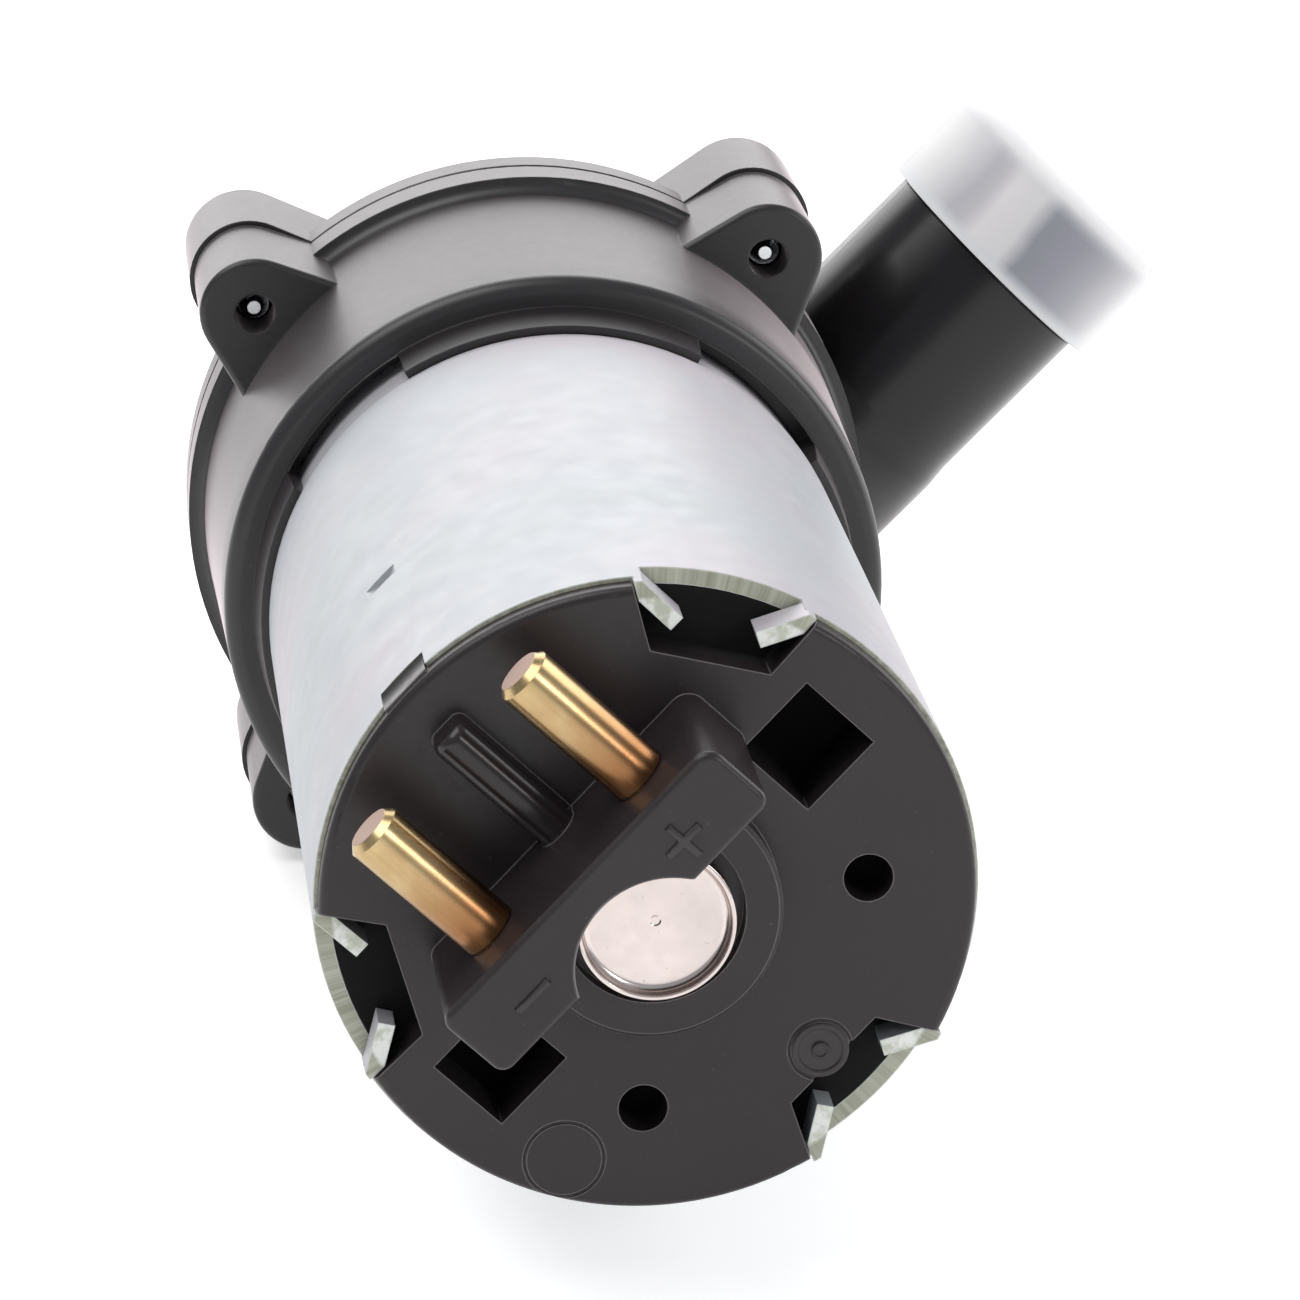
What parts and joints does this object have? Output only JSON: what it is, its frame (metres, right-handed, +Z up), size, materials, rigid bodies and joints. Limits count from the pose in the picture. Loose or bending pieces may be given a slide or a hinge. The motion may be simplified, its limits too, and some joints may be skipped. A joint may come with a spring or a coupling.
{
  "type": "auxiliary water pump",
  "caption": "Electric coolant pump: steel motor can with a terminal block, black pump head with axial inlet and capped tangential outlet.",
  "frame": {"origin": "on the motor axis, halfway along the bare length of the motor can", "axes": "Y runs along the motor axis, from the terminals at -Y to the inlet at +Y; Z is up; X completes the frame"},
  "size_m": [0.0838, 0.1584, 0.058],
  "materials": {
    "zinc_steel": "bright zinc-plated, satin",
    "steel": "ground steel",
    "bright_cup": "bright pressed metal",
    "black_plastic": "moulded, matt",
    "head_plastic": "glass-filled, satin",
    "pin_brass": "drawn, satin",
    "bronze": "sintered, oiled",
    "copper": "copper, enamelled or bare",
    "laminations": "stacked sheet steel",
    "ferrite": "sintered magnet",
    "carbon": "graphite",
    "rubber": "matt rubber",
    "impeller_plastic": "moulded, matt",
    "bush_plastic": "carbon-filled",
    "fibre": "fibre",
    "cap_plastic": "translucent soft plastic"
  },
  "bodies": {
    "pump": {"motor_can": "zinc_steel", "end_cap": "black_plastic", "terminal_pins": "pin_brass", "terminal_straps": "copper", "bearing_cap": "bright_cup", "rear_bearing": "bronze", "front_bearing": "bronze", "field_magnets": "ferrite", "magnet_clips": "steel", "carbon_brushes": "carbon", "brush_holders": "pin_brass", "brush_springs": "steel", "can_gasket": "rubber", "pump_housing": "head_plastic", "separating_shell": "impeller_plastic", "shell_seal": "rubber", "impeller_axle": "steel", "thrust_washers": "fibre", "volute_cover": "head_plastic", "cover_screws": "zinc_steel"},
    "motor_rotor": {"motor_shaft": "steel", "armature_core": "laminations", "armature_windings": "copper", "commutator": "copper", "rotor_spacers": "fibre", "drive_cup": "steel", "drive_magnets": "ferrite"},
    "impeller_rotor": {"impeller": "impeller_plastic", "rotor_magnet": "ferrite", "impeller_bush": "bush_plastic"},
    "transport_cap": {"outlet_cap": "cap_plastic"}
  },
  "joints": [
    {"name": "rotor_spin", "type": "hinge", "parent": "pump", "child": "motor_rotor", "pos_m": [0, 0, 0], "axis": [0, 1, 0], "continuous": true},
    {"name": "impeller_spin", "type": "hinge", "parent": "pump", "child": "impeller_rotor", "pos_m": [0, 0, 0], "axis": [0, 1, 0], "continuous": true},
    {"name": "outlet_cap_pull", "type": "slide", "parent": "pump", "child": "transport_cap", "axis": [0.7071, 0, 0.7071], "range_m": [0, 0.03]}
  ],
  "couplings": [
    {"joint": "impeller_spin", "follows": "rotor_spin", "ratio": 1}
  ]
}
